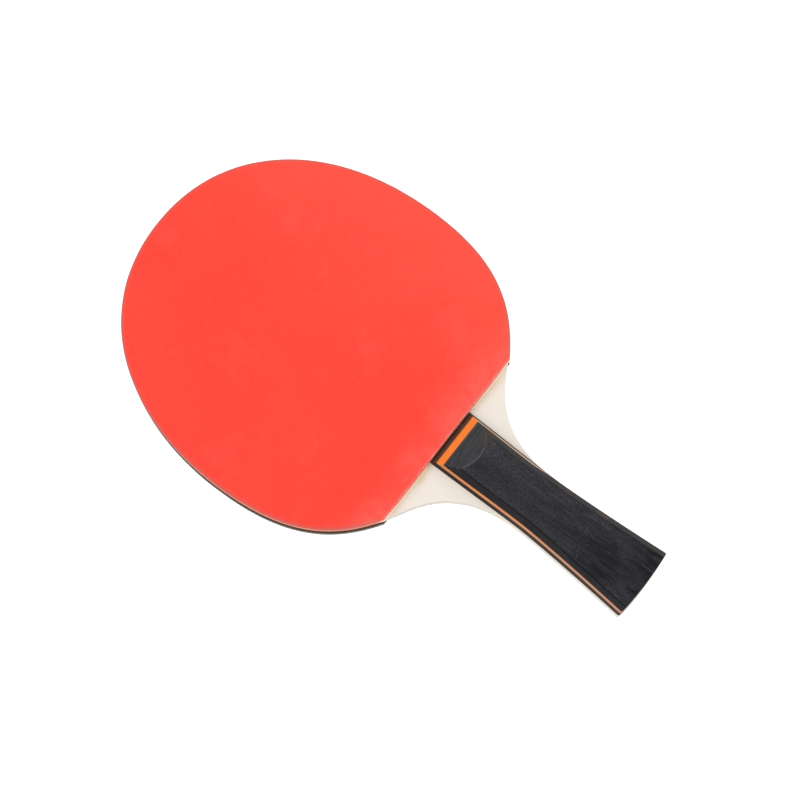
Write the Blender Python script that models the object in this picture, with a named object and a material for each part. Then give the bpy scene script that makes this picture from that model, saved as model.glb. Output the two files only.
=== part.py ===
"""A table tennis paddle: a five-ply blade, two rubber coverings on sponge, edge tape and a flared grip.

The frame: +Y points along the paddle to the tip of the head, +Z out of the red playing face, and the
origin is the middle of the bounding box. The grip is glued on a degree out of line with the head, and
the coverings' straight edge is cut a little out of square, as on a hand-finished paddle.
"""

import math

import bmesh
import bpy
from mathutils import Matrix, Vector
from mathutils.geometry import interpolate_bezier

GLUE_GAP = 0.0003  # left between two pieces that are glued together

# The blade's outline, right half: head tip, widest point, shoulder and neck, with the Bezier pulls.
TIP_Y = 0.1285
TIP_PULL = 0.0458
WIDEST = (0.0743, 0.0392)
WIDEST_PULL_UP = 0.0513
WIDEST_PULL_DOWN = 0.0411
SHOULDER = (0.0360, -0.0301)
SHOULDER_SLOPE = math.radians(29.5)
SHOULDER_PULL_UP = 0.0260
SHOULDER_PULL_DOWN = 0.0100
NECK_Y = -0.0725
NECK_PULL = 0.0280
ARC_STEPS = 22  # straight steps along each Bezier of the outline
MEET = 1e-6  # outline points closer than this are one point

# The plies, from the middle of the blade outwards.
BLADE_HALF = 0.0030
FACE_PLY = 0.0006
CROSS_PLY = 0.0006

# The coverings and the tape round the head's rim.
TAPE_THICKNESS = 0.0004
COVER_OVERHANG = GLUE_GAP + TAPE_THICKNESS  # the coverings are cut flush with the outside of the tape
SPONGE = 0.0016
TOP_SHEET = 0.0013
CUT_Y = -0.0263  # where the coverings' straight edge crosses the middle of the paddle
CUT_SLANT = math.radians(0.8)

# The grip. Its half width runs from the front to the waist to the tail.
TURN = math.radians(1.0)  # the grip, out of line with the head
TURN_ABOUT_Y = -0.0650
GRIP_FRONT_Y = -0.0266
GRIP_TAIL_Y = -0.1292
TAIL_BULGE = 0.0009
TAIL_CORNER = 0.0014
FRONT_HALF = 0.0137
WAIST_HALF = 0.0131
TAIL_HALF = 0.0167
WAIST_AT = 0.46  # of the grip's length, from the front
FLARE_POWER = 1.3
# The front ramp, as how far behind the front it is at each height above the blade. The heights are
# also those of the tops of the base veneer, the stripe veneer and the block.
RAMP = ((0.0, 0.0), (0.0024, 0.0026), (0.0058, 0.0044), (0.0156, 0.0087))
STRIPE_TOP = RAMP[2][1]
CROWN_HEIGHT = RAMP[3][1]
CREASE_HEIGHT = 0.0072  # above the blade, where the sloping side meets the crowned top
# The veneers' sides move in by this much for each unit of height, at the front and at the tail, and
# the block's sides go on from there to the crease, this far in from the foot.
LEAN_FRONT = 0.39
LEAN_TAIL = 0.26
CREASE_INSET_FRONT = 0.0044
CREASE_INSET_TAIL = 0.0034
GRIP_STEPS = 16
CORNER_STEPS = 4
CROWN_STEPS = 10

CREAM = (1.0, 0.61, 0.40)
CHARCOAL = (0.10, 0.10, 0.095)
RED = (0.99, 0.080, 0.056)
BLACK_RUBBER = (0.018, 0.018, 0.018)
BIRCH = (0.86, 0.80, 0.72)
POPLAR = (0.74, 0.62, 0.47)
CROSS_GRAIN = (0.62, 0.47, 0.32)
TAPE = (0.03, 0.022, 0.018)
DARK_VENEER = (0.060, 0.042, 0.032)
ORANGE = (0.95, 0.24, 0.05)
GRIP_BLACK = (0.038, 0.038, 0.047)


def material(name, color, roughness):
    """A plain Principled BSDF material."""
    made = bpy.data.materials.new(name)
    made.use_nodes = True
    shader = made.node_tree.nodes["Principled BSDF"]
    shader.inputs["Base Color"].default_value = (*color, 1.0)
    shader.inputs["Roughness"].default_value = roughness
    return made


def add_object(name, mesh_data, color, roughness):
    """Puts a finished bmesh into the scene as one named object with its own material."""
    bmesh.ops.recalc_face_normals(mesh_data, faces=mesh_data.faces)
    mesh = bpy.data.meshes.new(name)
    mesh_data.to_mesh(mesh)
    mesh_data.free()
    mesh.shade_smooth()
    mesh.set_sharp_from_angle(angle=math.radians(30))
    mesh.materials.append(material(name, color, roughness))
    bpy.context.scene.collection.objects.link(bpy.data.objects.new(name, mesh))


def grip_share(y):
    """How far along the grip y lies: 0 at the front, 1 at the tail."""
    return (GRIP_FRONT_Y - y) / (GRIP_FRONT_Y - GRIP_TAIL_Y)


def grip_half_width(y):
    """The half width of the grip at the blade's surface."""
    share = grip_share(y)
    if share < WAIST_AT:
        return WAIST_HALF + (FRONT_HALF - WAIST_HALF) * math.cos(0.5 * math.pi * share / WAIST_AT) ** 2
    flare = ((share - WAIST_AT) / (1 - WAIST_AT)) ** FLARE_POWER
    return WAIST_HALF + (TAIL_HALF - WAIST_HALF) * flare


def turned(x, y):
    """Turns a point of the grip by the small angle that the grip is out of line by."""
    swing = Matrix.Rotation(-TURN, 2) @ Vector((x, y - TURN_ABOUT_Y))
    return Vector((swing.x, swing.y + TURN_ABOUT_Y))


def corner_inset(from_tail):
    """How far the rounded tail corner pulls the side in, at a distance from the tail."""
    if from_tail >= TAIL_CORNER:
        return 0.0
    return TAIL_CORNER - math.sqrt(TAIL_CORNER**2 - (TAIL_CORNER - from_tail) ** 2)


def grip_stations(start_y):
    """Distances along the grip from start_y to the tail, closer together round the tail's corner."""
    corner_y = GRIP_TAIL_Y + TAIL_CORNER
    along = [start_y + (corner_y - start_y) * i / GRIP_STEPS for i in range(GRIP_STEPS + 1)]
    turns = [0.5 * math.pi * i / CORNER_STEPS for i in range(1, CORNER_STEPS + 1)]
    return along + [corner_y - TAIL_CORNER * math.sin(turn) for turn in turns]


def grip_point(x, y, half_width):
    """A point of the grip's plan, with the tail's gentle bulge, turned into line."""
    bulge = TAIL_BULGE * (x / half_width) ** 2 * max(grip_share(y), 0.0) ** 8
    return turned(x, y + bulge)


def blade_side(side):
    """One side of the blade's outline, from the tip of the head to the tail of the tang."""
    tip = Vector((0, TIP_Y))
    widest = Vector((side * WIDEST[0], WIDEST[1]))
    shoulder = Vector((side * SHOULDER[0], SHOULDER[1]))
    downhill = Vector((-side * math.cos(SHOULDER_SLOPE), -math.sin(SHOULDER_SLOPE)))
    neck = turned(side * grip_half_width(NECK_Y), NECK_Y)
    across = Vector((side, 0))
    up = Vector((0, 1))
    spans = (
        (tip, tip + across * TIP_PULL, widest + up * WIDEST_PULL_UP, widest),
        (widest, widest - up * WIDEST_PULL_DOWN, shoulder - downhill * SHOULDER_PULL_UP, shoulder),
        (shoulder, shoulder + downhill * SHOULDER_PULL_DOWN, neck + up * NECK_PULL, neck),
    )
    points = [tip]
    for span in spans:
        points += interpolate_bezier(*span, ARC_STEPS + 1)[1:]
    for y in grip_stations(NECK_Y)[1:]:
        half_width = grip_half_width(y)
        points.append(grip_point(side * (half_width - corner_inset(y - GRIP_TAIL_Y)), y, half_width))
    return [Vector((point.x, point.y)) for point in points]


def offset_side(side, distance):
    """The head's side of the outline, moved outwards, as far as the coverings' straight cut."""
    points = blade_side(side)
    moved = []
    for i, point in enumerate(points):
        ahead = points[i + 1] - point
        behind = point - points[i - 1] if i else Vector((ahead.x, -ahead.y))
        along = (ahead.normalized() + behind.normalized()).normalized()
        outside = point + Vector((-along.y, along.x)) * side * distance
        if outside.y < cut_line(outside.x):
            break
        moved.append(outside)
    step = outside - moved[-1]
    above = moved[-1].y - cut_line(moved[-1].x)
    below = outside.y - cut_line(outside.x)
    moved.append(moved[-1] + step * above / (above - below))
    return moved


def cut_line(x):
    """The height of the coverings' straight edge across the paddle."""
    return CUT_Y - x * math.tan(CUT_SLANT)


def slab(outline, low, high):
    """A flat slab with the given closed outline, between two heights."""
    made = bmesh.new()
    floor = made.faces.new([made.verts.new((point.x, point.y, low)) for point in outline])
    raised = bmesh.ops.extrude_face_region(made, geom=[floor])["geom"]
    lifted = [item for item in raised if isinstance(item, bmesh.types.BMVert)]
    bmesh.ops.translate(made, verts=lifted, vec=(0, 0, high - low))
    return made


def add_slab(name, outline, faces, color, roughness):
    """Adds a slab between two heights, given nearest the blade's middle first."""
    add_object(name, slab(outline, min(faces), max(faces)), color, roughness)


def side_inset(y, height):
    """How far in from the foot the grip's side is at a height above the blade."""
    share = min(max(grip_share(y), 0.0), 1.0)
    lean = LEAN_FRONT + (LEAN_TAIL - LEAN_FRONT) * share
    if height <= STRIPE_TOP:
        return lean * height
    crease = CREASE_INSET_FRONT + (CREASE_INSET_TAIL - CREASE_INSET_FRONT) * share
    upward = (height - STRIPE_TOP) / (CREASE_HEIGHT - STRIPE_TOP)
    return lean * STRIPE_TOP + (crease - lean * STRIPE_TOP) * upward


def grip_section(y, low, high):
    """One cross-section of a grip layer, as (x, height) corners from one side over to the other."""
    half = grip_half_width(y) - corner_inset(y - GRIP_TAIL_Y)
    top = min(high, CREASE_HEIGHT)
    right = [(half - side_inset(y, low), low), (half - side_inset(y, top), top)]
    crown = []
    if high > CREASE_HEIGHT:
        rim = half - side_inset(y, CREASE_HEIGHT)
        for i in range(1, CROWN_STEPS):
            share = 1 - 2 * i / CROWN_STEPS
            rise = (high - CREASE_HEIGHT) * (1 - share**2)
            crown.append((rim * share, CREASE_HEIGHT + rise))
    left = [(-x, height) for x, height in reversed(right)]
    return right + crown + left


def grip_layer(low, ramp_start, ramp_end, side):
    """A layer of the grip, up from a height above the blade, cut off by its stretch of the ramp."""
    made = bmesh.new()
    rings = []
    for y in grip_stations(GRIP_FRONT_Y):
        ring = []
        for x, height in grip_section(y, low, ramp_end[1]):
            place = grip_point(x, y, grip_half_width(y))
            ring.append(made.verts.new((place.x, place.y, side * (BLADE_HALF + height))))
        rings.append(ring)
    for before, after in zip(rings, rings[1:]):
        for i in range(len(before)):
            following = (i + 1) % len(before)
            made.faces.new((before[i], before[following], after[following], after[i]))
    made.faces.new(rings[0])
    made.faces.new(rings[-1])
    start = turned(0, GRIP_FRONT_Y - ramp_start[0])
    slope = math.atan2(ramp_end[1] - ramp_start[1], ramp_end[0] - ramp_start[0])
    toward_tail = Vector((-math.sin(TURN), -math.cos(TURN), 0))
    off_ramp = Vector((0, 0, side * math.cos(slope))) - toward_tail * math.sin(slope)
    cut = bmesh.ops.bisect_plane(
        made,
        geom=made.verts[:] + made.edges[:] + made.faces[:],
        plane_co=(start.x, start.y, side * (BLADE_HALF + ramp_start[1])),
        plane_no=off_ramp,
        clear_outer=True,
        dist=MEET,
    )["geom_cut"]
    rim = [item for item in cut if isinstance(item, bmesh.types.BMEdge)]
    bmesh.ops.edgeloop_fill(made, edges=rim)
    return made


def add_blade():
    """The five plies, each with the blade's whole outline."""
    outline = blade_side(1) + blade_side(-1)[:0:-1]
    face_low = BLADE_HALF - FACE_PLY
    cross_high = face_low - GLUE_GAP
    cross_low = cross_high - CROSS_PLY
    core = cross_low - GLUE_GAP
    add_slab("blade_core_ply", outline, (-core, core), POPLAR, 0.7)
    for side, word in ((1, "front"), (-1, "back")):
        cross_name = f"blade_cross_ply_{word}"
        add_slab(cross_name, outline, (side * cross_low, side * cross_high), CROSS_GRAIN, 0.7)
        face_name = f"blade_face_ply_{word}"
        add_slab(face_name, outline, (side * face_low, side * BLADE_HALF), BIRCH, 0.55)


def add_coverings():
    """A sponge and a top sheet on each face, flush with the outside of the tape."""
    outline = offset_side(1, COVER_OVERHANG) + offset_side(-1, COVER_OVERHANG)[:0:-1]
    sponge_low = BLADE_HALF + GLUE_GAP
    sponge_high = sponge_low + SPONGE
    sheet_low = sponge_high + GLUE_GAP
    sheet_high = sheet_low + TOP_SHEET
    colors = (("front", 1, CREAM, RED), ("back", -1, CHARCOAL, BLACK_RUBBER))
    for word, side, sponge_color, sheet_color in colors:
        sponge_faces = (side * sponge_low, side * sponge_high)
        add_slab(f"{word}_sponge", outline, sponge_faces, sponge_color, 0.95)
        sheet_faces = (side * sheet_low, side * sheet_high)
        add_slab(f"{word}_top_sheet", outline, sheet_faces, sheet_color, 0.6)


def add_edge_tape():
    """A thin band over the edge of the plies, round the head from one end of the cut to the other."""
    outside = offset_side(-1, COVER_OVERHANG)[::-1] + offset_side(1, COVER_OVERHANG)[1:]
    inside = offset_side(-1, GLUE_GAP)[::-1] + offset_side(1, GLUE_GAP)[1:]
    faces = (-BLADE_HALF, BLADE_HALF)
    add_slab("edge_tape", outside + inside[::-1], faces, TAPE, 0.5)


def add_grip():
    """Three layers on each face of the tang: a dark veneer, an orange one and a crowned black block."""
    layers = (
        ("base_veneer", DARK_VENEER, 0.6),
        ("stripe_veneer", ORANGE, 0.55),
        ("block", GRIP_BLACK, 0.55),
    )
    for side, word in ((1, "front"), (-1, "back")):
        for i, (name, color, roughness) in enumerate(layers):
            shape = grip_layer(RAMP[i][1] + GLUE_GAP, RAMP[i], RAMP[i + 1], side)
            add_object(f"grip_{name}_{word}", shape, color, roughness)


for old in list(bpy.data.objects):
    bpy.data.objects.remove(old)
add_blade()
add_coverings()
add_edge_tape()
add_grip()
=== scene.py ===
"""The looks of a table tennis paddle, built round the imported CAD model.

The frame is the CAD's: +Y along the paddle to the tip of the head, +Z out of the red face, metres.
"""

import math

import bmesh
import bpy
from mathutils import Matrix, Vector, noise
from mathutils.geometry import interpolate_bezier


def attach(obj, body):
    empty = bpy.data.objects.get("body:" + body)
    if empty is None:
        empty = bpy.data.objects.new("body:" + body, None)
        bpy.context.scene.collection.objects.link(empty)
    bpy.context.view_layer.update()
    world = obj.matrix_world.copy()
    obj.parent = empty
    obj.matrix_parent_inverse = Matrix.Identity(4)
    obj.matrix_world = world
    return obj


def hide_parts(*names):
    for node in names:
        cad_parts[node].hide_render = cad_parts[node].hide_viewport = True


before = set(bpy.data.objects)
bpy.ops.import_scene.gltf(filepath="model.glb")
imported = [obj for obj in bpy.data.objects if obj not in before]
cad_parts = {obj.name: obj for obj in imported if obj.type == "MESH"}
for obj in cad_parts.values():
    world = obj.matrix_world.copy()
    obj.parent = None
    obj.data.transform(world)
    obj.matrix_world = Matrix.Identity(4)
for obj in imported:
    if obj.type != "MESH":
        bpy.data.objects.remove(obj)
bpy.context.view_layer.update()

MM = 0.001

# The blade's outline, right half: tip, widest point, shoulder and neck, with the Bezier pulls.
TIP_Y = 128.5 * MM
TIP_PULL = 45.8 * MM
WIDEST = (74.3 * MM, 39.2 * MM)
WIDEST_PULL_UP = 51.3 * MM
WIDEST_PULL_DOWN = 41.1 * MM
SHOULDER = (36.0 * MM, -30.1 * MM)
SHOULDER_SLOPE = math.radians(29.5)
SHOULDER_PULL_UP = 26.0 * MM
SHOULDER_PULL_DOWN = 10.0 * MM
NECK_Y = -72.5 * MM
NECK_PULL = 28.0 * MM
ARC_STEPS = 60

# Heights of the layers, from the middle of the blade. Touching layers stay two seams apart.
CORE_TOP = 1.35 * MM
CROSS_TOP = 2.25 * MM
BLADE_TOP = 3.0 * MM
SPONGE_TOP = 4.95 * MM
SHEET_TOP = 6.5 * MM
SEAM = 0.01 * MM

# The plies' edges: how uneven and recessed the cross plies are, and how the face plies are worn round.
CROSS_WAVER = 0.05 * MM
CROSS_RECESS = 0.02 * MM
# Each pair is how far a ring is below the face, and how far in from the edge.
WORN_EDGE = ((0.25 * MM, 0.0), (0.10 * MM, 0.06 * MM), (0.02 * MM, 0.16 * MM), (0.0, 0.28 * MM))

# The coverings: how far they stand out past the blade, and their straight cut above the grip.
COVER_OVERHANG = 0.7 * MM
CUT_Y = -26.3 * MM
CUT_SLANT = math.radians(0.8)
CUT_STEP = 1.5 * MM
# Points this close to the cut are on it, and the rim has no point this close to the cut's ends.
NEAR_CUT = 0.6 * MM
SPONGE_WAVER = 0.04 * MM
SHEET_WAVER = 0.07 * MM
# The ledge of sponge that the slanting knife leaves: its width beside the grip and at the ends of the
# cut, the distances from its middle between which it opens out, and those between which it narrows.
LEDGE_AT_GRIP = 1.10 * MM
LEDGE_AT_ENDS = 0.25 * MM
LEDGE_STARTS = (13.9 * MM, 16.5 * MM)
LEDGE_FADES = (34.0 * MM, 43.0 * MM)
LEDGE_MIDDLE_X = 0.6 * MM
# The knife's face through the sponge and the sheet: the height of each ring, and its share of the ledge.
SPONGE_CUT = (
    (BLADE_TOP + SEAM, 1.0),
    (BLADE_TOP + 0.7 * MM, 0.85),
    (BLADE_TOP + 1.4 * MM, 0.5),
    (SPONGE_TOP - SEAM, 0.25),
)
SHEET_CUT = ((SPONGE_TOP + SEAM, 0.25), (SHEET_TOP - 0.35 * MM, 0.05))
# The sheet's rounded rim: how far each ring is below the face, and how far in.
SHEET_RIM = ((0.17 * MM, 0.06 * MM), (0.07 * MM, 0.20 * MM))
# Rings on the sheet's face: first by their distance from the rim, then by their share of the way out.
FACE_STEPS = (0.25 * MM, 0.6 * MM, 1.0 * MM, 1.6 * MM, 2.2 * MM)
FACE_SHARES = (0.95, 0.91, 0.86, 0.78, 0.68, 0.56, 0.42, 0.28, 0.14)
# How much of the rim's grime each ring of the sheet takes, from its foot inwards.
RIM_MARKS = (1.0, 1.0, 1.0, 1.0, 0.9, 0.6, 0.25, 0.05, 0.0)

# The edge tape: its outside and thickness, how far it passes the cut, and its bowed section.
TAPE_OUT = 0.66 * MM
TAPE_THICK = 0.64 * MM
TAPE_PAST_CUT = 0.1 * MM
TAPE_WAVER = 0.06 * MM
TAPE_TOP = 2.98 * MM
TAPE_EDGE_SHARE = 0.75
TAPE_BOW = ((-TAPE_TOP, 0.0), (-2.7 * MM, 0.9), (0.0, 1.0), (2.7 * MM, 0.9), (TAPE_TOP, 0.0))

# The grip, which is turned a little about a point on the middle line.
TURN = math.radians(1.15)
TURN_ABOUT_Y = -61.7 * MM
GRIP_FRONT_Y = -26.38 * MM
GRIP_TAIL_Y = -129.2 * MM
TAIL_BULGE = 0.9 * MM
TAIL_CORNER = 0.9 * MM
TAIL_ROUND = 0.45 * MM
FRONT_HALF = 13.7 * MM
WAIST_HALF = 13.15 * MM
TAIL_HALF = 16.7 * MM
WAIST_AT = 0.46
FLARE_POWER = 1.3
# The front ramp: how far behind the front it is, and how high, at the layers' boundaries.
RAMP = ((0.0, 0.0), (2.4 * MM, 2.6 * MM), (5.8 * MM, 4.4 * MM), (15.6 * MM, 8.7 * MM))
STRIPE_TOP = RAMP[2][1]
CROWN_HEIGHT = RAMP[3][1]
CREASE_HEIGHT = 7.2 * MM
# How far in the sides are at the top of the stripe and at the crease: at the front, then at the tail.
# The key is 1 for the right side and -1 for the left.
STRIPE_INSET = {1: (1.75 * MM, 0.75 * MM), -1: (1.90 * MM, 1.52 * MM)}
CREASE_INSET = {1: (4.35 * MM, 3.40 * MM), -1: (4.45 * MM, 3.40 * MM)}
STRIPE_CURVE = 1.15
# The right wall steepens between this share of the grip's length and the waist.
STEEPENS_AT = 0.32
# The crease is rounded from a little below it on the side to this share of the crown's width.
CREASE_DROP = 0.5 * MM
CREASE_SHARE = 0.90
CREST_ROUND = 0.30 * MM
EDGE_ROUND = 0.07 * MM
SHARP_TO_TAIL = 2.0 * MM
SHARP_TURN = math.radians(20)
BEHIND_RAMP = 0.8 * MM
GRIP_STEPS = 60
CORNER_STEPS = 8
WALL_STEPS = 4
CREASE_STEPS = 8
CROWN_STEPS = 24
TAIL_STEPS = 12

# The camera looks at the middle of the red face from the tail's left, 11.8 degrees off straight down.
CAMERA_DISTANCE = 1.1254
CAMERA_ELEVATION = math.radians(78.18)
CAMERA_AZIMUTH = math.radians(53.17)
CAMERA_LENS = 120
CAMERA_TARGET = (0.43 * MM, -0.42 * MM, SHEET_TOP)

# The stage, in metres: a wide floor just under the grip, and one lamp above the head's side.
FLOOR_HALF = 3.0
FLOOR_GAP = 0.1 * MM
FLOOR_GLOW = 0.85
SKY_STRENGTH = 0.85
LAMP_PLACE = (-0.5, 0.9, 1.5)
LAMP_SIZE = 1.4
LAMP_POWER = 9.0


def srgb(red, green, blue):
    """A colour given as 0-255 display values, as linear RGBA."""
    return (*[_linear(channel / 255) for channel in (red, green, blue)], 1.0)


def _linear(value):
    """One display channel from 0 to 1 as linear light."""
    return value / 12.92 if value <= 0.04045 else ((value + 0.055) / 1.055) ** 2.4


# ---------------------------------------------------------------- outlines


def grip_share(y):
    """How far along the grip y lies: 0 at the front, 1 at the tail."""
    return (GRIP_FRONT_Y - y) / (GRIP_FRONT_Y - GRIP_TAIL_Y)


def grip_half_width(y):
    """The half width of the grip at the blade's surface."""
    share = grip_share(y)
    if share < WAIST_AT:
        return WAIST_HALF + (FRONT_HALF - WAIST_HALF) * math.cos(0.5 * math.pi * share / WAIST_AT) ** 2
    flare = ((share - WAIST_AT) / (1 - WAIST_AT)) ** FLARE_POWER
    return WAIST_HALF + (TAIL_HALF - WAIST_HALF) * flare


def turned(x, y):
    """Turns a point of the grip by the small angle that the grip is out of line by."""
    swing = Matrix.Rotation(-TURN, 2) @ Vector((x, y - TURN_ABOUT_Y))
    return Vector((swing.x, swing.y + TURN_ABOUT_Y))


def corner_inset(from_tail):
    """How far the rounded tail corner pulls the side in, at a distance from the tail."""
    if from_tail >= TAIL_CORNER:
        return 0.0
    return TAIL_CORNER - math.sqrt(max(TAIL_CORNER**2 - (TAIL_CORNER - from_tail) ** 2, 0.0))


def grip_stations(start_y):
    """Distances along the grip from start_y to the tail, closer together round the tail's corner."""
    corner_y = GRIP_TAIL_Y + TAIL_CORNER
    along = [start_y + (corner_y - start_y) * i / GRIP_STEPS for i in range(GRIP_STEPS + 1)]
    turns = [0.5 * math.pi * i / CORNER_STEPS for i in range(1, CORNER_STEPS + 1)]
    return along + [corner_y - TAIL_CORNER * math.sin(turn) for turn in turns]


def grip_point(x, y, half_width):
    """A point of the grip's plan, with the tail's gentle bulge, turned into line."""
    bulge = TAIL_BULGE * (x / half_width) ** 2 * max(grip_share(y), 0.0) ** 8
    return turned(x, y + bulge)


def blade_side(side):
    """One side of the blade's outline, from the tip of the head to the tail of the tang."""
    tip = Vector((0, TIP_Y))
    widest = Vector((side * WIDEST[0], WIDEST[1]))
    shoulder = Vector((side * SHOULDER[0], SHOULDER[1]))
    downhill = Vector((-side * math.cos(SHOULDER_SLOPE), -math.sin(SHOULDER_SLOPE)))
    neck = turned(side * grip_half_width(NECK_Y), NECK_Y)
    across = Vector((side, 0))
    up = Vector((0, 1))
    spans = (
        (tip, tip + across * TIP_PULL, widest + up * WIDEST_PULL_UP, widest),
        (widest, widest - up * WIDEST_PULL_DOWN, shoulder - downhill * SHOULDER_PULL_UP, shoulder),
        (shoulder, shoulder + downhill * SHOULDER_PULL_DOWN, neck + up * NECK_PULL, neck),
    )
    points = [tip]
    for span in spans:
        points += interpolate_bezier(*span, ARC_STEPS + 1)[1:]
    for y in grip_stations(NECK_Y)[1:]:
        half_width = grip_half_width(y)
        points.append(grip_point(side * (half_width - corner_inset(y - GRIP_TAIL_Y)), y, half_width))
    return [Vector((point.x, point.y)) for point in points]


def blade_outline():
    """The whole outline: down the right side, across the tail and up the left side."""
    half_width = grip_half_width(GRIP_TAIL_Y)
    reach = half_width - TAIL_CORNER
    tail = []
    for i in range(1, TAIL_STEPS):
        tail.append(grip_point(reach * (1 - 2 * i / TAIL_STEPS), GRIP_TAIL_Y, half_width))
    return blade_side(1) + tail + blade_side(-1)[:0:-1]


def cut_line(x):
    """The height of the coverings' straight edge across the paddle."""
    return CUT_Y - x * math.tan(CUT_SLANT)


def head_side(side, distance, beyond=0.0):
    """The head's side of the outline moved outwards, ending on the cut line or a little beyond it."""
    points = blade_side(side)
    moved = []
    for i, point in enumerate(points):
        ahead = points[i + 1] - point
        behind = point - points[i - 1] if i else Vector((ahead.x, -ahead.y))
        along = (ahead.normalized() + behind.normalized()).normalized()
        outside = point + Vector((-along.y, along.x)) * side * distance
        if outside.y < cut_line(outside.x) - beyond:
            break
        moved.append(outside)
    step = outside - moved[-1]
    above = moved[-1].y - cut_line(moved[-1].x) + beyond
    below = outside.y - cut_line(outside.x) + beyond
    corner = moved[-1] + step * above / (above - below)
    if (corner - moved[-1]).length < NEAR_CUT:
        moved.pop()
    return moved + [corner]


def head_outline(distance):
    """The whole outline of a covering: both sides of the head and the straight cut between them."""
    right = head_side(1, distance)
    left = head_side(-1, distance)
    chord = left[-1] - right[-1]
    count = max(int(chord.length / CUT_STEP), 2)
    cut = [right[-1] + chord * i / count for i in range(1, count)]
    return right + cut + left[:0:-1]


def wavering(points, amount, frequency, seed):
    """Moves each point in or out a little, as a hand-held knife does."""
    made = []
    for i, point in enumerate(points):
        along = points[(i + 1) % len(points)] - points[i - 1]
        normal = Vector((along.y, -along.x)).normalized()
        wave = noise.noise(Vector((point.x * frequency, point.y * frequency, seed)))
        made.append(point + normal * amount * wave)
    return made


def inset(points, distance):
    """Moves a closed outline inwards by a distance. The outline runs clockwise seen from above."""
    made = []
    for i, point in enumerate(points):
        ahead = (points[(i + 1) % len(points)] - point).normalized()
        behind = (point - points[i - 1]).normalized()
        first = Vector((behind.y, -behind.x))
        second = Vector((ahead.y, -ahead.x))
        made.append(point + (first + second) * distance / (1 + first.dot(second)))
    return made


def drawn_in(points, distance):
    """Moves the points of a closed outline straight towards its middle, so that corners never cross."""
    middle = sum(points, Vector((0, 0))) / len(points)
    return [point + (middle - point).normalized() * distance for point in points]


# ---------------------------------------------------------------- mesh pieces


def finish_piece(name, mesh_data, material, slot, nodes, sharp=35):
    """Turns a bmesh into a piece that rides on the paddle's body and stands for the given CAD nodes."""
    bmesh.ops.recalc_face_normals(mesh_data, faces=mesh_data.faces)
    mesh = bpy.data.meshes.new(name)
    mesh_data.to_mesh(mesh)
    mesh_data.free()
    mesh.shade_smooth()
    mesh.set_sharp_from_angle(angle=math.radians(sharp))
    mesh.materials.append(material)
    piece = bpy.data.objects.new(name, mesh)
    bpy.context.scene.collection.objects.link(piece)
    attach(piece, "root")
    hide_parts(*nodes)
    return piece


def ring_of(made, points, height):
    """A ring of vertices; height is a number or a function of the point."""
    if callable(height):
        return [made.verts.new((point.x, point.y, height(point))) for point in points]
    return [made.verts.new((point.x, point.y, height)) for point in points]


def bridge(made, first, second):
    """Faces between two closed rings of the same length."""
    for i in range(len(first)):
        following = (i + 1) % len(first)
        made.faces.new((first[i], first[following], second[following], second[i]))


def close_with_rings(made, ring, height, shares):
    """Closes a rim by rings that shrink to the middle, so that the face can rise and fall."""
    middle = sum((Vector(vertex.co.xy) for vertex in ring), Vector((0, 0))) / len(ring)
    rim = [Vector(vertex.co.xy) for vertex in ring]
    for share in shares:
        inner = ring_of(made, [middle.lerp(point, share) for point in rim], height)
        bridge(made, ring, inner)
        ring = inner
    centre = ring_of(made, [middle], height)[0]
    for i in range(len(ring)):
        made.faces.new((ring[i], ring[(i + 1) % len(ring)], centre))


def slab(rings, cap=None, marks=()):
    """A closed slab from a stack of (outline, height) rings, with flat or wavy caps and rim marks."""
    made = bmesh.new()
    rim = made.verts.layers.float.new("rim")
    stack = [ring_of(made, points, height) for points, height in rings]
    for ring, mark in zip(stack, marks):
        for vertex in ring:
            vertex[rim] = mark
    for first, second in zip(stack, stack[1:]):
        bridge(made, first, second)
    made.faces.new(stack[0])
    if cap is None:
        made.faces.new(stack[-1])
    else:
        close_with_rings(made, stack[-1], cap, FACE_SHARES)
    return made


def flat_caps(piece):
    """Shades the large flat faces flat, so that they keep straight normals."""
    for polygon in piece.data.polygons:
        if abs(polygon.normal.z) > 0.9999:
            polygon.use_smooth = False


def add_plies():
    """The five plies of the blade."""
    outline = blade_outline()
    core_rings = [(outline, -CORE_TOP + SEAM), (outline, CORE_TOP - SEAM)]
    core = finish_piece("core_ply", slab(core_rings), CORE_WOOD, "core_wood", ["blade_core_ply"])
    flat_caps(core)
    for side, word in ((1, "front"), (-1, "back")):
        edge = inset(wavering(outline, CROSS_WAVER, 150, side * 3.0), CROSS_RECESS)
        rings = [(edge, side * (CORE_TOP + SEAM)), (edge, side * (CROSS_TOP - SEAM))]
        cross = finish_piece(
            f"cross_ply_{word}", slab(rings), CROSS_WOOD, "cross_wood", [f"blade_cross_ply_{word}"]
        )
        flat_caps(cross)
        rings = [(outline, side * (CROSS_TOP + SEAM))]
        rings += [(inset(outline, inwards), side * (BLADE_TOP - down)) for down, inwards in WORN_EDGE]
        face = finish_piece(
            f"face_ply_{word}", slab(rings), FACE_WOOD, "face_wood", [f"blade_face_ply_{word}"]
        )
        flat_caps(face)


def smooth(value, low, high):
    """0 below low, 1 above high, and smooth in between."""
    share = min(max((value - low) / (high - low), 0.0), 1.0)
    return share * share * (3 - 2 * share)


def ledge(x):
    """How far the slanting knife cut leaves the sponge's foot standing out; it fills the gap at the grip."""
    beside_grip = smooth(abs(x - LEDGE_MIDDLE_X), *LEDGE_STARTS)
    wide = 1.0 - smooth(abs(x), *LEDGE_FADES)
    open_ledge = LEDGE_AT_ENDS + (LEDGE_AT_GRIP - LEDGE_AT_ENDS) * wide
    gap = cut_line(x) - turned(x, GRIP_FRONT_Y).y - 2 * SEAM
    return gap + beside_grip * (open_ledge - gap)


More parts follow.
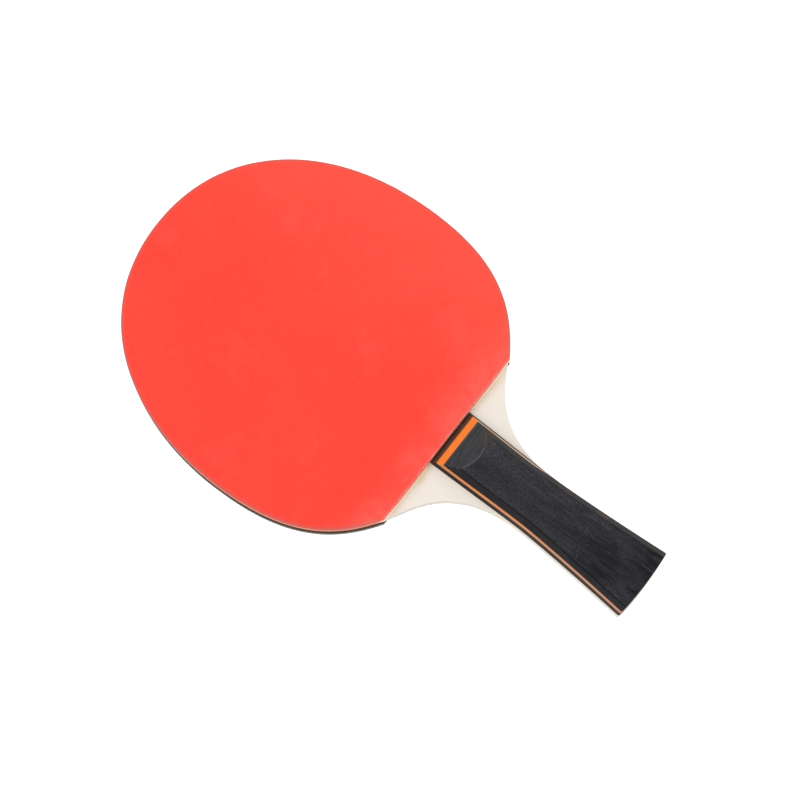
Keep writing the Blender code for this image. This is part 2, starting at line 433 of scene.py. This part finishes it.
def cut_foot(points, share):
    """Moves the points on the straight cut out by a share of the ledge."""
    made = []
    for point in points:
        moved = point.copy()
        if abs(point.y - cut_line(point.x)) < NEAR_CUT:
            moved.y -= share * ledge(point.x)
        made.append(moved)
    return made


def wavy_top(point, seed):
    """A covering's face, which isn't perfectly flat."""
    broad = noise.noise(Vector((point.x * 25, point.y * 25, seed)))
    fine = noise.noise(Vector((point.x * 90, point.y * 90, seed + 5)))
    return SHEET_TOP - 0.05 * MM + 0.035 * MM * broad + 0.012 * MM * fine


def add_coverings():
    """A sponge and a top sheet on each face."""
    plain = head_outline(COVER_OVERHANG)
    for side, word, foam, rubber, foam_slot, rubber_slot in (
        (1, "front", CREAM_SPONGE, RED_RUBBER, "cream_sponge", "red_rubber"),
        (-1, "back", GREY_SPONGE, BLACK_RUBBER, "charcoal_sponge", "black_rubber"),
    ):
        edge = wavering(plain, SPONGE_WAVER, 140, side * 7.0)
        rings = [(cut_foot(edge, share), side * height) for height, share in SPONGE_CUT]
        sponge = finish_piece(f"{word}_sponge_layer", slab(rings), foam, foam_slot, [f"{word}_sponge"])
        flat_caps(sponge)
        edge = wavering(plain, SHEET_WAVER, 90, side * 11.0)
        rings = [(cut_foot(edge, share), side * height) for height, share in SHEET_CUT]
        rings += [(inset(edge, inwards), side * (SHEET_TOP - down)) for down, inwards in SHEET_RIM]
        brink = rings[-1][0]

        def face_height(point, side=side):
            """The playing face's height at a point."""
            return side * wavy_top(point, side * 2.0)

        rings += [(drawn_in(brink, step), face_height) for step in FACE_STEPS]
        sheet = slab(rings, face_height, RIM_MARKS)
        finish_piece(f"{word}_sheet", sheet, rubber, rubber_slot, [f"{word}_top_sheet"], sharp=50)


def add_edge_tape():
    """The thin band over the plies' edge, round the head from one end of the cut to the other."""
    left, right = (head_side(side, TAPE_OUT, TAPE_PAST_CUT) for side in (-1, 1))
    outer = left[::-1] + right[1:]
    inner = []
    for before, point, after in zip(outer[:1] + outer, outer, outer[1:] + outer[-1:]):
        along = (after - before).normalized()
        inner.append(point + Vector((along.y, -along.x)) * TAPE_THICK)
    made = bmesh.new()
    bow = []
    for height, bulge in TAPE_BOW:
        share = TAPE_EDGE_SHARE + (1 - TAPE_EDGE_SHARE) * bulge
        band = [inside.lerp(outside, share) for inside, outside in zip(inner, outer)]
        wavered = wavering(band, TAPE_WAVER, 60, 20.0)
        bow.append(ring_of(made, [band[0]] + wavered[1:-1] + [band[-1]], height))
    back = [ring_of(made, inner, height) for height in (-TAPE_TOP, TAPE_TOP)]
    profile = bow + back[::-1]
    for first, second in zip(profile, profile[1:] + profile[:1]):
        for i in range(len(first) - 1):
            made.faces.new((first[i], first[i + 1], second[i + 1], second[i]))
    for end in (0, -1):
        made.faces.new([ring[end] for ring in profile])
    finish_piece("rim_tape", made, RIM_TAPE, "tape", ["edge_tape"])


# ---------------------------------------------------------------- the grip


def ramp_y(height):
    """Where the front ramp is at a height: it has one straight stretch for each layer."""
    for low, high in zip(RAMP, RAMP[1:]):
        if height <= high[1]:
            break
    return GRIP_FRONT_Y - low[0] - (high[0] - low[0]) * (height - low[1]) / (high[1] - low[1])


def reach(y, height, side):
    """How far out the grip's side is, at a height above the blade that is at most the crease's."""
    share = grip_share(y)
    along = smooth(share, STEEPENS_AT, WAIST_AT) if side > 0 else share
    stripe = STRIPE_INSET[side][0] + (STRIPE_INSET[side][1] - STRIPE_INSET[side][0]) * along
    crease = CREASE_INSET[side][0] + (CREASE_INSET[side][1] - CREASE_INSET[side][0]) * along
    if height <= STRIPE_TOP:
        inset_here = stripe * (height / STRIPE_TOP) ** STRIPE_CURVE
    else:
        inset_here = stripe + (crease - stripe) * (height - STRIPE_TOP) / (CREASE_HEIGHT - STRIPE_TOP)
    return grip_half_width(y) - corner_inset(y - GRIP_TAIL_Y) - inset_here


def side_column(side, height):
    """A line along the grip's side: its height, and its x as a function of y."""
    return height, lambda y: side * reach(y, height, side)


def across_column(height, share, rim):
    """A line over the grip, between its two sides at the height of the rim; share runs from -1 to 1."""
    return height, lambda y: (
        (reach(y, rim, 1) - reach(y, rim, -1) + share * (reach(y, rim, 1) + reach(y, rim, -1))) / 2
    )


def crown_column(share):
    """A line along the crowned top."""
    height = CREASE_HEIGHT + (CROWN_HEIGHT - CREASE_HEIGHT) * (1 - share**2)
    return across_column(height, share, CREASE_HEIGHT)


def crease_column(side, turn):
    """A line along the rounded crease; turn runs from 0 on the side to 1 on the top."""
    ends = (
        side_column(side, CREASE_HEIGHT - CREASE_DROP),
        side_column(side, CREASE_HEIGHT),
        crown_column(side * CREASE_SHARE),
    )
    pulls = ((1 - turn) ** 2, 2 * turn * (1 - turn), turn**2)
    height = sum(pull * end[0] for pull, end in zip(pulls, ends))
    return height, lambda y: sum(pull * end[1](y) for pull, end in zip(pulls, ends))


def layer_columns(low, high):
    """The lines along a layer, from its right foot over the top to its left foot, with crease marks."""
    crowned = high > CREASE_HEIGHT
    wall_top = CREASE_HEIGHT - CREASE_DROP if crowned else high
    walls = {}
    for side in (1, -1):
        heights = [low + (wall_top - low) * i / WALL_STEPS for i in range(WALL_STEPS + 1)]
        walls[side] = [(side_column(side, height), 0.0) for height in heights]
        if crowned:
            for i in range(1, CREASE_STEPS + 1):
                turn = i / CREASE_STEPS
                walls[side].append((crease_column(side, turn), 1 - abs(2 * turn - 1)))
    across = []
    for i in range(1, CROWN_STEPS):
        share = 1 - 2 * i / CROWN_STEPS
        made = crown_column(CREASE_SHARE * share) if crowned else across_column(high, share, high)
        across.append((made, 0.0))
    return walls[1] + across + walls[-1][::-1]


def grip_place(x, y, height, side):
    """A point of the grip in space, with the edge at the tail rounded down."""
    drop = 0.0
    from_tail = y - GRIP_TAIL_Y
    if height > STRIPE_TOP and from_tail < TAIL_ROUND:
        share = (height - STRIPE_TOP) / (CROWN_HEIGHT - STRIPE_TOP)
        drop = share * (TAIL_ROUND - math.sqrt(max(TAIL_ROUND**2 - (TAIL_ROUND - from_tail) ** 2, 0.0)))
    place = grip_point(x, y, grip_half_width(y))
    return place.x, place.y, side * (BLADE_TOP + height - drop)


def round_edges(made, wanted, width, steps, marks):
    """Rounds the edges that a test picks, and sets the new faces' marks."""
    edges = [edge for edge in made.edges if wanted(edge)]
    result = bmesh.ops.bevel(
        made, geom=edges, offset=width, segments=steps, profile=0.5, affect="EDGES", clamp_overlap=False
    )
    for face in result["faces"]:
        for mark, value in marks:
            face[mark] = value


def at_layer_edge(edge):
    """Whether an edge is a layer's sharp one, short of the tail's corner."""
    short_of_tail = all(vertex.co.y > GRIP_TAIL_Y + SHARP_TO_TAIL for vertex in edge.verts)
    return edge.calc_face_angle(0.0) > SHARP_TURN and short_of_tail


def layer_line(made, across, height, side):
    """The vertices of one line along a layer, from its ramp to the tail."""
    front_y = ramp_y(height)
    stations = [front_y] + grip_stations(front_y - BEHIND_RAMP)
    return [made.verts.new(grip_place(across(y), y, height, side)) for y in stations]


def grip_layer(low, high, side):
    """One closed layer of the grip, with a single flat face for its stretch of the front ramp."""
    made = bmesh.new()
    crease = made.verts.layers.float.new("crease")
    ramp = made.faces.layers.float.new("ramp")
    crest = made.faces.layers.float.new("crest")
    over = []
    under = []
    columns = layer_columns(low, high)
    for i, ((height, across), mark) in enumerate(columns):
        line = layer_line(made, across, height, side)
        for vertex in line:
            vertex[crease] = mark
        over.append(line)
        on_foot = i in (0, len(columns) - 1)
        under.append(line if on_foot else layer_line(made, across, low, side))
    for i in range(len(over) - 1):
        for sheet in (over, under):
            first, second = sheet[i], sheet[i + 1]
            for j in range(len(first) - 1):
                made.faces.new((first[j], second[j], second[j + 1], first[j + 1]))
        corners = (over[i][-1], over[i + 1][-1], under[i + 1][-1], under[i][-1])
        made.faces.new(list(dict.fromkeys(corners)))
    ramp_face = made.faces.new([line[0] for line in over] + [line[0] for line in under[-2:0:-1]])
    ramp_face[ramp] = 1.0
    foot = BLADE_TOP + low + 0.2 * SEAM

    def at_crest(edge):
        """Whether an edge bounds the ramp anywhere but at its foot."""
        above_foot = any(abs(vertex.co.z) >= foot for vertex in edge.verts)
        return above_foot and any(face[ramp] for face in edge.link_faces)

    if high > CREASE_HEIGHT:
        round_edges(made, at_crest, CREST_ROUND, 3, ((crest, 1.0), (ramp, 0.0)))
    else:
        round_edges(made, at_layer_edge, EDGE_ROUND, 1, ((crest, 0.0),))
    return made


def add_grip():
    """The grip: two dyed veneers and a crowned block on each side of the blade."""
    layers = (
        ("base_veneer", SEAM, RAMP[1][1] - SEAM, DARK_VENEER, "dark_veneer"),
        ("stripe_veneer", RAMP[1][1] + SEAM, STRIPE_TOP - SEAM, ORANGE_VENEER, "orange_veneer"),
        ("block", STRIPE_TOP + SEAM, CROWN_HEIGHT, BLACK_WOOD, "black_wood"),
    )
    for side, word in ((1, "front"), (-1, "back")):
        for name, low, high, material, slot in layers:
            piece = finish_piece(
                f"handle_{name}_{word}",
                grip_layer(low, high, side),
                material,
                slot,
                [f"grip_{name}_{word}"],
                sharp=40,
            )
            marks = piece.data.attributes["ramp"].data
            for polygon in piece.data.polygons:
                if marks[polygon.index].value > 0.5:
                    polygon.use_smooth = False


# ---------------------------------------------------------------- materials


class Look:
    """A material under construction: short calls for the nodes that it needs."""

    def __init__(self, name):
        self.material = bpy.data.materials.new(name)
        self.material.use_nodes = True
        self.tree = self.material.node_tree
        self.shader = self.tree.nodes["Principled BSDF"]
        self.place = self.add("ShaderNodeTexCoord").outputs["Object"]

    def add(self, kind, **settings):
        """A new node of a kind, with its settings."""
        made = self.tree.nodes.new(kind)
        for key, value in settings.items():
            setattr(made, key, value)
        return made

    def link(self, source, target):
        """Feeds one node's output into another's input."""
        self.tree.links.new(source, target)

    def plug(self, socket, value):
        """Links a socket, or sets a plain value."""
        if isinstance(value, bpy.types.NodeSocket):
            self.link(value, socket)
        else:
            socket.default_value = value

    def stretched(self, scale, turn=0.0):
        """Object coordinates scaled along each axis, to draw textures out into grain."""
        made = self.add("ShaderNodeMapping")
        made.inputs["Scale"].default_value = scale
        made.inputs["Rotation"].default_value = (0, 0, turn)
        self.link(self.place, made.inputs["Vector"])
        return made.outputs["Vector"]

    def noise(self, scale, detail=3.0, rough=0.5, vector=None, distortion=0.0):
        """Cloudy noise: scale is in patches per metre."""
        made = self.add("ShaderNodeTexNoise")
        self.link(vector or self.place, made.inputs["Vector"])
        made.inputs["Scale"].default_value = scale
        made.inputs["Detail"].default_value = detail
        made.inputs["Roughness"].default_value = rough
        made.inputs["Distortion"].default_value = distortion
        return made.outputs["Fac"]

    def cells(self, scale):
        """The distance from the nearest of many scattered points: scale is in points per metre."""
        made = self.add("ShaderNodeTexVoronoi")
        self.link(self.place, made.inputs["Vector"])
        made.inputs["Scale"].default_value = scale
        return made.outputs["Distance"]

    def remap(self, value, low, high, to_low=0.0, to_high=1.0):
        """Stretches a range of values to another, smoothly and clamped."""
        made = self.add("ShaderNodeMapRange", interpolation_type="SMOOTHSTEP")
        self.link(value, made.inputs["Value"])
        for name, number in (("From Min", low), ("From Max", high), ("To Min", to_low), ("To Max", to_high)):
            made.inputs[name].default_value = number
        return made.outputs["Result"]

    def math(self, operation, first, second=0.0):
        """One step of arithmetic."""
        made = self.add("ShaderNodeMath", operation=operation)
        self.plug(made.inputs[0], first)
        self.plug(made.inputs[1], second)
        return made.outputs["Value"]

    def mix(self, share, first, second):
        """A colour between two colours."""
        made = self.add("ShaderNodeMix", data_type="RGBA")
        self.plug(made.inputs["Factor"], share)
        self.plug(made.inputs["A"], first)
        self.plug(made.inputs["B"], second)
        return made.outputs["Result"]

    def axis(self, name):
        """One of the object's coordinates, in metres."""
        made = self.add("ShaderNodeSeparateXYZ")
        self.link(self.place, made.inputs["Vector"])
        return made.outputs[name]

    def mark(self, name):
        """A value stored on the mesh's vertices or faces."""
        return self.add("ShaderNodeAttribute", attribute_name=name).outputs["Fac"]

    def facing_up(self, low, high):
        """1 where the surface faces straight up or down, 0 on the sides."""
        made = self.add("ShaderNodeSeparateXYZ")
        self.link(self.add("ShaderNodeNewGeometry").outputs["True Normal"], made.inputs["Vector"])
        return self.remap(self.math("ABSOLUTE", made.outputs["Z"]), low, high)

    def height(self):
        """The height above or below the blade's surface."""
        return self.math("SUBTRACT", self.math("ABSOLUTE", self.axis("Z")), BLADE_TOP)

    def from_cut(self):
        """The distance from the coverings' straight cut, towards the tip of the head."""
        slanted = self.math("MULTIPLY", self.axis("X"), math.tan(CUT_SLANT))
        return self.math("SUBTRACT", self.math("ADD", self.axis("Y"), slanted), CUT_Y)

    def product(self, first, *others):
        """All the values multiplied."""
        for other in others:
            first = self.math("MULTIPLY", first, other)
        return first

    def finish(self, color, roughness, bumps, specular):
        """Plugs the colour and roughness in, and chains (height, distance) pairs as bumps."""
        self.plug(self.shader.inputs["Base Color"], color)
        self.plug(self.shader.inputs["Roughness"], roughness)
        self.shader.inputs["Specular IOR Level"].default_value = specular
        normal = None
        for height, distance in bumps:
            made = self.add("ShaderNodeBump")
            made.inputs["Distance"].default_value = distance
            self.link(height, made.inputs["Height"])
            if normal:
                self.link(normal, made.inputs["Normal"])
            normal = made.outputs["Normal"]
        if normal:
            self.link(normal, self.shader.inputs["Normal"])
        return self.material


def uneven_rubber(look, base, mottle_and_sheen_tint, scuff):
    """The rubber's colour: mottled and smudged, and lighter towards the right, which is a painted reflection
    haze.
    """
    cloud = look.remap(look.noise(24, 4.0, 0.55), 0.35, 0.70)
    mottle = look.remap(look.noise(430, 5.0, 0.75), 0.36, 0.64)
    # Painted reflection: the rubber is lightened towards the right to stand for a haze of reflected light.
    sheen_to_right = look.remap(look.axis("X"), -10 * MM, 88 * MM)
    uneven = look.math("ADD", look.product(cloud, 0.14), look.product(mottle, 0.18))
    color = look.mix(look.math("ADD", uneven, look.product(sheen_to_right, 0.68)), base, mottle_and_sheen_tint)
    smudge = look.remap(look.noise(40, 5.0, 0.62), 0.54, 0.70)
    return look.mix(look.product(smudge, 0.025), color, scuff)


def frayed_along_cut(look, color, distance, scuff):
    """A wide faint haze beside the cut, and torn threads of rubber right along it."""
    patches = look.remap(look.noise(95, 6.0, 0.65, distortion=0.4), 0.36, 0.68)
    haze = look.product(look.remap(distance, 16 * MM, 0.5 * MM), look.math("ADD", patches, 0.45), 0.09)
    color = look.mix(haze, color, scuff)
    threads = look.remap(look.noise(700, 5.0, 0.7, look.stretched((1.0, 0.55, 1.0))), 0.40, 0.64)
    frayed = look.product(look.remap(distance, 1.1 * MM, 0.0), look.math("ADD", threads, 0.35), 0.34)
    return look.mix(frayed, color, scuff)


def rubber_look(name, base, mottle_and_sheen_tint, scuff, grime, roughness):
    """Smooth rubber, grimy round its rim, hazed and frayed along the cut, with a few pale specks."""
    look = Look(name)
    color = uneven_rubber(look, base, mottle_and_sheen_tint, scuff)
    distance = look.from_cut()
    blotches = look.remap(look.noise(300, 5.0, 0.6), 0.30, 0.65, 0.65, 1.0)
    away = look.remap(distance, 0.2 * MM, 2.2 * MM, 0.08, 1.0)
    color = look.mix(look.product(look.mark("rim"), blotches, away, 0.56), color, grime)
    color = frayed_along_cut(look, color, distance, scuff)
    specks = look.remap(look.cells(420), 0.09, 0.04)
    sparse = look.remap(look.noise(60, 2.0), 0.58, 0.66)
    color = look.mix(look.product(specks, sparse, 0.16), color, scuff)
    gloss = look.math("ADD", look.remap(look.noise(40, 5.0), 0.3, 0.7, -0.05, 0.05), roughness)
    grain = look.noise(5200, 2.0, 0.6)
    return look.finish(color, gloss, [(look.noise(160, 4.0), 0.04 * MM), (grain, 0.010 * MM)], 0.42)


def sponge_look(name, base, dark, fresh):
    """Fine foam with small open cells, paler on the freshly cut straight edge out beside the grip; where the
    cut meets the grip it keeps the darker colour, as painted shade in the gap between the sheet and the
    grip.
    """
    look = Look(name)
    pores = look.cells(2600)
    tint = look.math("MULTIPLY", look.remap(look.noise(120, 4.0), 0.3, 0.7), 0.25)
    shade = look.math("ADD", look.product(look.remap(pores, 0.25, 0.6), 0.6), tint)
    # Painted shade: the pale cut colour stops short of the grip, so that the sponge in the gap under the
    # sheet's edge stays darker.
    clear_of_gap_shade = look.remap(look.math("ABSOLUTE", look.axis("X")), 13.0 * MM, 16.0 * MM)
    newly_cut = look.product(look.remap(look.from_cut(), 2.0 * MM, 0.5 * MM), clear_of_gap_shade)
    worn_tone_and_painted_light = look.mix(shade, base, dark)
    color = look.mix(newly_cut, worn_tone_and_painted_light, look.mix(look.product(shade, 0.15), fresh, base))
    return look.finish(color, 0.95, [(pores, -0.10 * MM), (look.noise(900, 3.0), 0.05 * MM)], 0.1)


def wood_look(name, base, streak, pore, edge, roughness, stretch=(1.0, 0.045, 0.2), stain=None):
    """Straight-grained wood, darker where its edge is cut, with the grain along the paddle by default."""
    look = Look(name)
    along = look.stretched(stretch)
    broad = look.remap(look.noise(260, 4.0, 0.6, along, 0.3), 0.32, 0.70)
    fine = look.remap(look.noise(1900, 3.0, 0.6, along), 0.45, 0.75)
    color = look.mix(look.product(broad, 0.75), base, streak)
    color = look.mix(look.product(fine, 0.5), color, pore)
    if stain:
        near_cut = look.remap(look.from_cut(), -4.5 * MM, -0.5 * MM)
        smear = look.remap(look.noise(110, 4.0), 0.42, 0.66)
        color = look.mix(look.product(near_cut, smear, 0.8), color, stain)
    color = look.mix(look.facing_up(0.25, 0.85), look.mix(look.product(fine, 0.35), edge, pore), color)
    gloss = look.math("ADD", look.remap(fine, 0.0, 1.0, 0.0, 0.12), roughness)
    return look.finish(color, gloss, [(broad, 0.01 * MM), (fine, -0.01 * MM)], 0.3)


def tape_look():
    """Dark woven tape: fine threads across and along."""
    look = Look("rim_tape")
    threads = look.noise(2600, 2.0, 0.5, look.stretched((1.0, 1.0, 0.15)))
    wear = look.remap(look.noise(90, 5.0), 0.5, 0.75)
    color = look.mix(look.remap(threads, 0.35, 0.7), srgb(60, 33, 24), srgb(88, 54, 41))
    color = look.mix(look.product(wear, 0.3), color, srgb(112, 80, 62))
    return look.finish(color, 0.85, [(threads, 0.04 * MM)], 0.04)


def veneer_look(name, ramp_color, front_side, tail_side, right_side, streak, specular):
    """A dyed veneer: the dye is strong on the ramp, paler on the sanded sides and towards the tail."""
    look = Look(name)
    along = look.stretched((1.0, 0.06, 1.0))
    fine = look.remap(look.noise(1500, 3.0, 0.6, along), 0.40, 0.75)
    tailward = look.remap(look.axis("Y"), -45 * MM, -110 * MM)
    side = look.mix(tailward, front_side, tail_side)
    side = look.mix(look.remap(look.axis("X"), -2 * MM, 2 * MM), side, right_side)
    color = look.mix(look.mark("ramp"), side, ramp_color)
    color = look.mix(look.product(fine, 0.30), color, streak)
    smudge = look.remap(look.noise(140, 4.0), 0.5, 0.8)
    color = look.mix(look.product(smudge, 0.25), color, streak)
    for edge in (RAMP[1][1], STRIPE_TOP):
        apart = look.math("ABSOLUTE", look.math("SUBTRACT", look.height(), edge))
        color = look.mix(look.remap(apart, 0.25 * MM, 0.05 * MM, 0.0, 0.6), color, srgb(52, 22, 8))
    return look.finish(color, 0.6, [(fine, -0.02 * MM)], specular)


def stain_and_painted_light(look, fibres, broad, rightward):
    """The black stain, grained on top and darker in a band left of the middle and on the sides, with the top
    painted paler towards the front as painted light, a gradient of light along it.
    """
    pores = look.noise(1900, 4.0, 0.75, look.stretched((1.0, 0.5, 1.0), TURN))
    color = look.mix(look.product(broad, 0.8), srgb(13, 14, 19), srgb(51, 52, 58))
    # Painted light: the top is made paler towards the front, a gradient of light along it.
    painted_light_to_front = look.remap(look.axis("Y"), -120 * MM, -60 * MM)
    color = look.mix(look.product(painted_light_to_front, 0.42), color, srgb(66, 66, 71))
    color = look.mix(look.remap(fibres, 0.46, 0.70, 0.0, 0.60), color, srgb(76, 77, 83))
    color = look.mix(look.remap(pores, 0.38, 0.52, 0.75, 0.0), color, srgb(8, 8, 12))
    off_middle = look.math("ABSOLUTE", look.math("ADD", look.axis("X"), 2.5 * MM))
    color = look.mix(look.remap(off_middle, 6.5 * MM, 1.5 * MM, 0.0, 0.24), color, srgb(13, 14, 19))
    sides = look.mix(rightward, srgb(17, 17, 20), srgb(50, 47, 46))
    sides = look.mix(look.product(look.remap(fibres, 0.42, 0.70), 0.45), sides, srgb(56, 55, 58))
    return look.mix(look.facing_up(0.72, 0.92), look.mix(look.product(broad, 0.3), sides, color), color)


def lit_ramp_and_crest(look, color):
    """The ramp, painted lighter grey across the grain as painted light on the facet, and a painted highlight
    along its crest.
    """
    ramp_light = look.noise(900, 4.0, 0.65, look.stretched((0.08, 1.0, 1.0), TURN))
    # Painted light: the ramp's colour is raised to a streaky grey where the facet faces the light.
    ramp_light = look.mix(look.remap(ramp_light, 0.30, 0.72), srgb(40, 40, 43), srgb(67, 67, 69))
    color = look.mix(look.product(look.mark("ramp"), 0.85), color, ramp_light)
    # Painted highlight: a pale grey along the rounded crest.
    worn_tone_and_painted_light = look.product(look.mark("crest"), look.remap(look.noise(500, 4.0), 0.30, 0.55, 0.35, 1.0))
    return look.mix(worn_tone_and_painted_light, color, srgb(92, 92, 92))


def shaded_creases_and_foot(look, color, rightward):
    """Painted shade along the two creases, deeper on the left, and the brown foot where the block meets the
    stripe.
    """
    on_top = look.math("SUBTRACT", 1.0, look.mark("ramp"))
    crease_shade_strength = look.math("SUBTRACT", 0.8, look.product(rightward, 0.4))
    # Painted shade: the creases are darkened to near black, more on the left side.
    crease = look.product(look.remap(look.mark("crease"), 0.1, 0.9), on_top, crease_shade_strength)
    color = look.mix(crease, color, srgb(4, 4, 6))
    foot = look.remap(look.height(), STRIPE_TOP + 0.9 * MM, STRIPE_TOP + 0.2 * MM, 0.0, 0.8)
    brown = look.mix(rightward, srgb(48, 24, 11), srgb(80, 64, 55))
    return look.mix(look.product(foot, on_top), color, brown)


def small_marks(look, color):
    """Thin patches where brown shows through, mostly on the right, and short scratches near the tail."""
    thin = look.remap(look.noise(70, 5.0, 0.7), 0.57, 0.68)
    right_side = look.remap(look.axis("X"), 4 * MM, 12 * MM, 0.15, 0.45)
    color = look.mix(look.product(thin, right_side), color, srgb(84, 68, 54))
    scratches = look.noise(900, 2.0, 0.4, look.stretched((0.25, 1.0, 1.0), math.radians(35)))
    tailward = look.remap(look.axis("Y"), -60 * MM, -110 * MM, 0.10, 0.4)
    return look.mix(look.product(look.remap(scratches, 0.70, 0.78), tailward), color, srgb(96, 96, 98))


def black_wood_look():
    """Black-stained wood: fine grain and pores, painted light on the ramp, a painted highlight along its
    crest, painted shade along the creases, and brown at its foot.
    """
    look = Look("black_wood")
    fibres = look.noise(1700, 5.0, 0.7, look.stretched((1.0, 0.05, 1.0), TURN))
    broad = look.remap(look.noise(170, 5.0, 0.65, look.stretched((1.0, 0.3, 1.0), TURN), 0.4), 0.34, 0.68)
    rightward = look.remap(look.axis("X"), -2 * MM, 2 * MM)
    color = stain_and_painted_light(look, fibres, broad, rightward)
    color = lit_ramp_and_crest(look, color)
    color = shaded_creases_and_foot(look, color, rightward)
    color = small_marks(look, color)
    gloss = look.math("ADD", look.remap(fibres, 0.3, 0.7, -0.05, 0.10), 0.6)
    return look.finish(color, gloss, [(fibres, 0.03 * MM), (broad, 0.03 * MM)], 0.16)


# The second colour of each rubber is its lighter mottling and also the painted reflection haze towards the
# right.
RED_RUBBER = rubber_look(
    "red_rubber", srgb(252, 51, 30), srgb(253, 76, 57), srgb(238, 188, 175), srgb(148, 110, 103), 0.55
)
BLACK_RUBBER = rubber_look(
    "black_rubber", srgb(24, 24, 25), srgb(32, 32, 33), srgb(92, 92, 92), srgb(54, 52, 50), 0.5
)
CREAM_SPONGE = sponge_look("cream_sponge", srgb(240, 168, 134), srgb(216, 136, 102), srgb(255, 232, 206))
GREY_SPONGE = sponge_look("grey_sponge", srgb(138, 128, 112), srgb(98, 90, 78), srgb(150, 142, 126))
FACE_WOOD = wood_look(
    "face_wood",
    srgb(243, 235, 225),
    srgb(241, 232, 221),
    srgb(236, 226, 213),
    srgb(214, 209, 200),
    0.5,
    stain=srgb(228, 214, 168),
)
CORE_WOOD = wood_look(
    "core_wood", srgb(214, 208, 197), srgb(204, 196, 183), srgb(188, 178, 163), srgb(218, 212, 202), 0.7
)
CROSS_WOOD = wood_look(
    "cross_wood",
    srgb(206, 198, 185),
    srgb(196, 187, 173),
    srgb(172, 161, 146),
    srgb(200, 192, 180),
    0.75,
    (0.045, 1.0, 0.2),
)
RIM_TAPE = tape_look()
DARK_VENEER = veneer_look(
    "dark_veneer",
    srgb(93, 70, 62),
    srgb(54, 36, 24),
    srgb(54, 36, 24),
    srgb(50, 34, 24),
    srgb(30, 20, 16),
    0.12,
)
ORANGE_VENEER = veneer_look(
    "orange_veneer",
    srgb(246, 129, 47),
    srgb(206, 138, 94),
    srgb(180, 136, 110),
    srgb(206, 178, 156),
    srgb(196, 104, 52),
    0.2,
)
BLACK_WOOD = black_wood_look()


# ---------------------------------------------------------------- stage, light and camera


def add_stage():
    """A plain white floor just under the grip, bright enough to lose the shadow."""
    low = -(BLADE_TOP + CROWN_HEIGHT)
    made = bmesh.new()
    bmesh.ops.create_grid(made, x_segments=1, y_segments=1, size=FLOOR_HALF)
    mesh = bpy.data.meshes.new("floor")
    made.to_mesh(mesh)
    made.free()
    floor = bpy.data.objects.new("floor", mesh)
    bpy.context.scene.collection.objects.link(floor)
    floor.location = (0, 0, low - FLOOR_GAP)
    look = Look("floor")
    look.shader.inputs["Emission Color"].default_value = (1, 1, 1, 1)
    look.shader.inputs["Emission Strength"].default_value = FLOOR_GLOW
    paper = look.mix(look.noise(900, 2.0), (0.58, 0.58, 0.58, 1), (0.60, 0.60, 0.60, 1))
    floor.data.materials.append(look.finish(paper, 0.9, (), 0.1))


def add_light():
    """An even white surround and one large soft lamp above the head's side."""
    world = bpy.data.worlds.new("studio")
    world.use_nodes = True
    background = world.node_tree.nodes["Background"]
    background.inputs["Color"].default_value = (1, 1, 1, 1)
    background.inputs["Strength"].default_value = SKY_STRENGTH
    bpy.context.scene.world = world
    light = bpy.data.lights.new("key", "AREA")
    light.shape = "SQUARE"
    light.size = LAMP_SIZE
    light.energy = LAMP_POWER
    lamp = bpy.data.objects.new("key", light)
    lamp.location = LAMP_PLACE
    lamp.rotation_euler = (-lamp.location).to_track_quat("-Z", "Y").to_euler()
    bpy.context.scene.collection.objects.link(lamp)


def add_camera():
    """The camera, aimed at the middle of the red face."""
    target = Vector(CAMERA_TARGET)
    flat = math.cos(CAMERA_ELEVATION)
    direction = Vector(
        (-math.sin(CAMERA_AZIMUTH) * flat, -math.cos(CAMERA_AZIMUTH) * flat, math.sin(CAMERA_ELEVATION))
    )
    data = bpy.data.cameras.new("camera")
    data.lens = CAMERA_LENS
    data.sensor_width = 36
    data.clip_start = 0.01
    camera = bpy.data.objects.new("camera", data)
    camera.location = target + direction * CAMERA_DISTANCE
    camera.rotation_euler = (-direction).to_track_quat("-Z", "Y").to_euler()
    bpy.context.scene.collection.objects.link(camera)
    bpy.context.scene.camera = camera


add_plies()
add_coverings()
add_edge_tape()
add_grip()
add_stage()
add_light()
add_camera()
bpy.context.scene.view_settings.view_transform = "Standard"
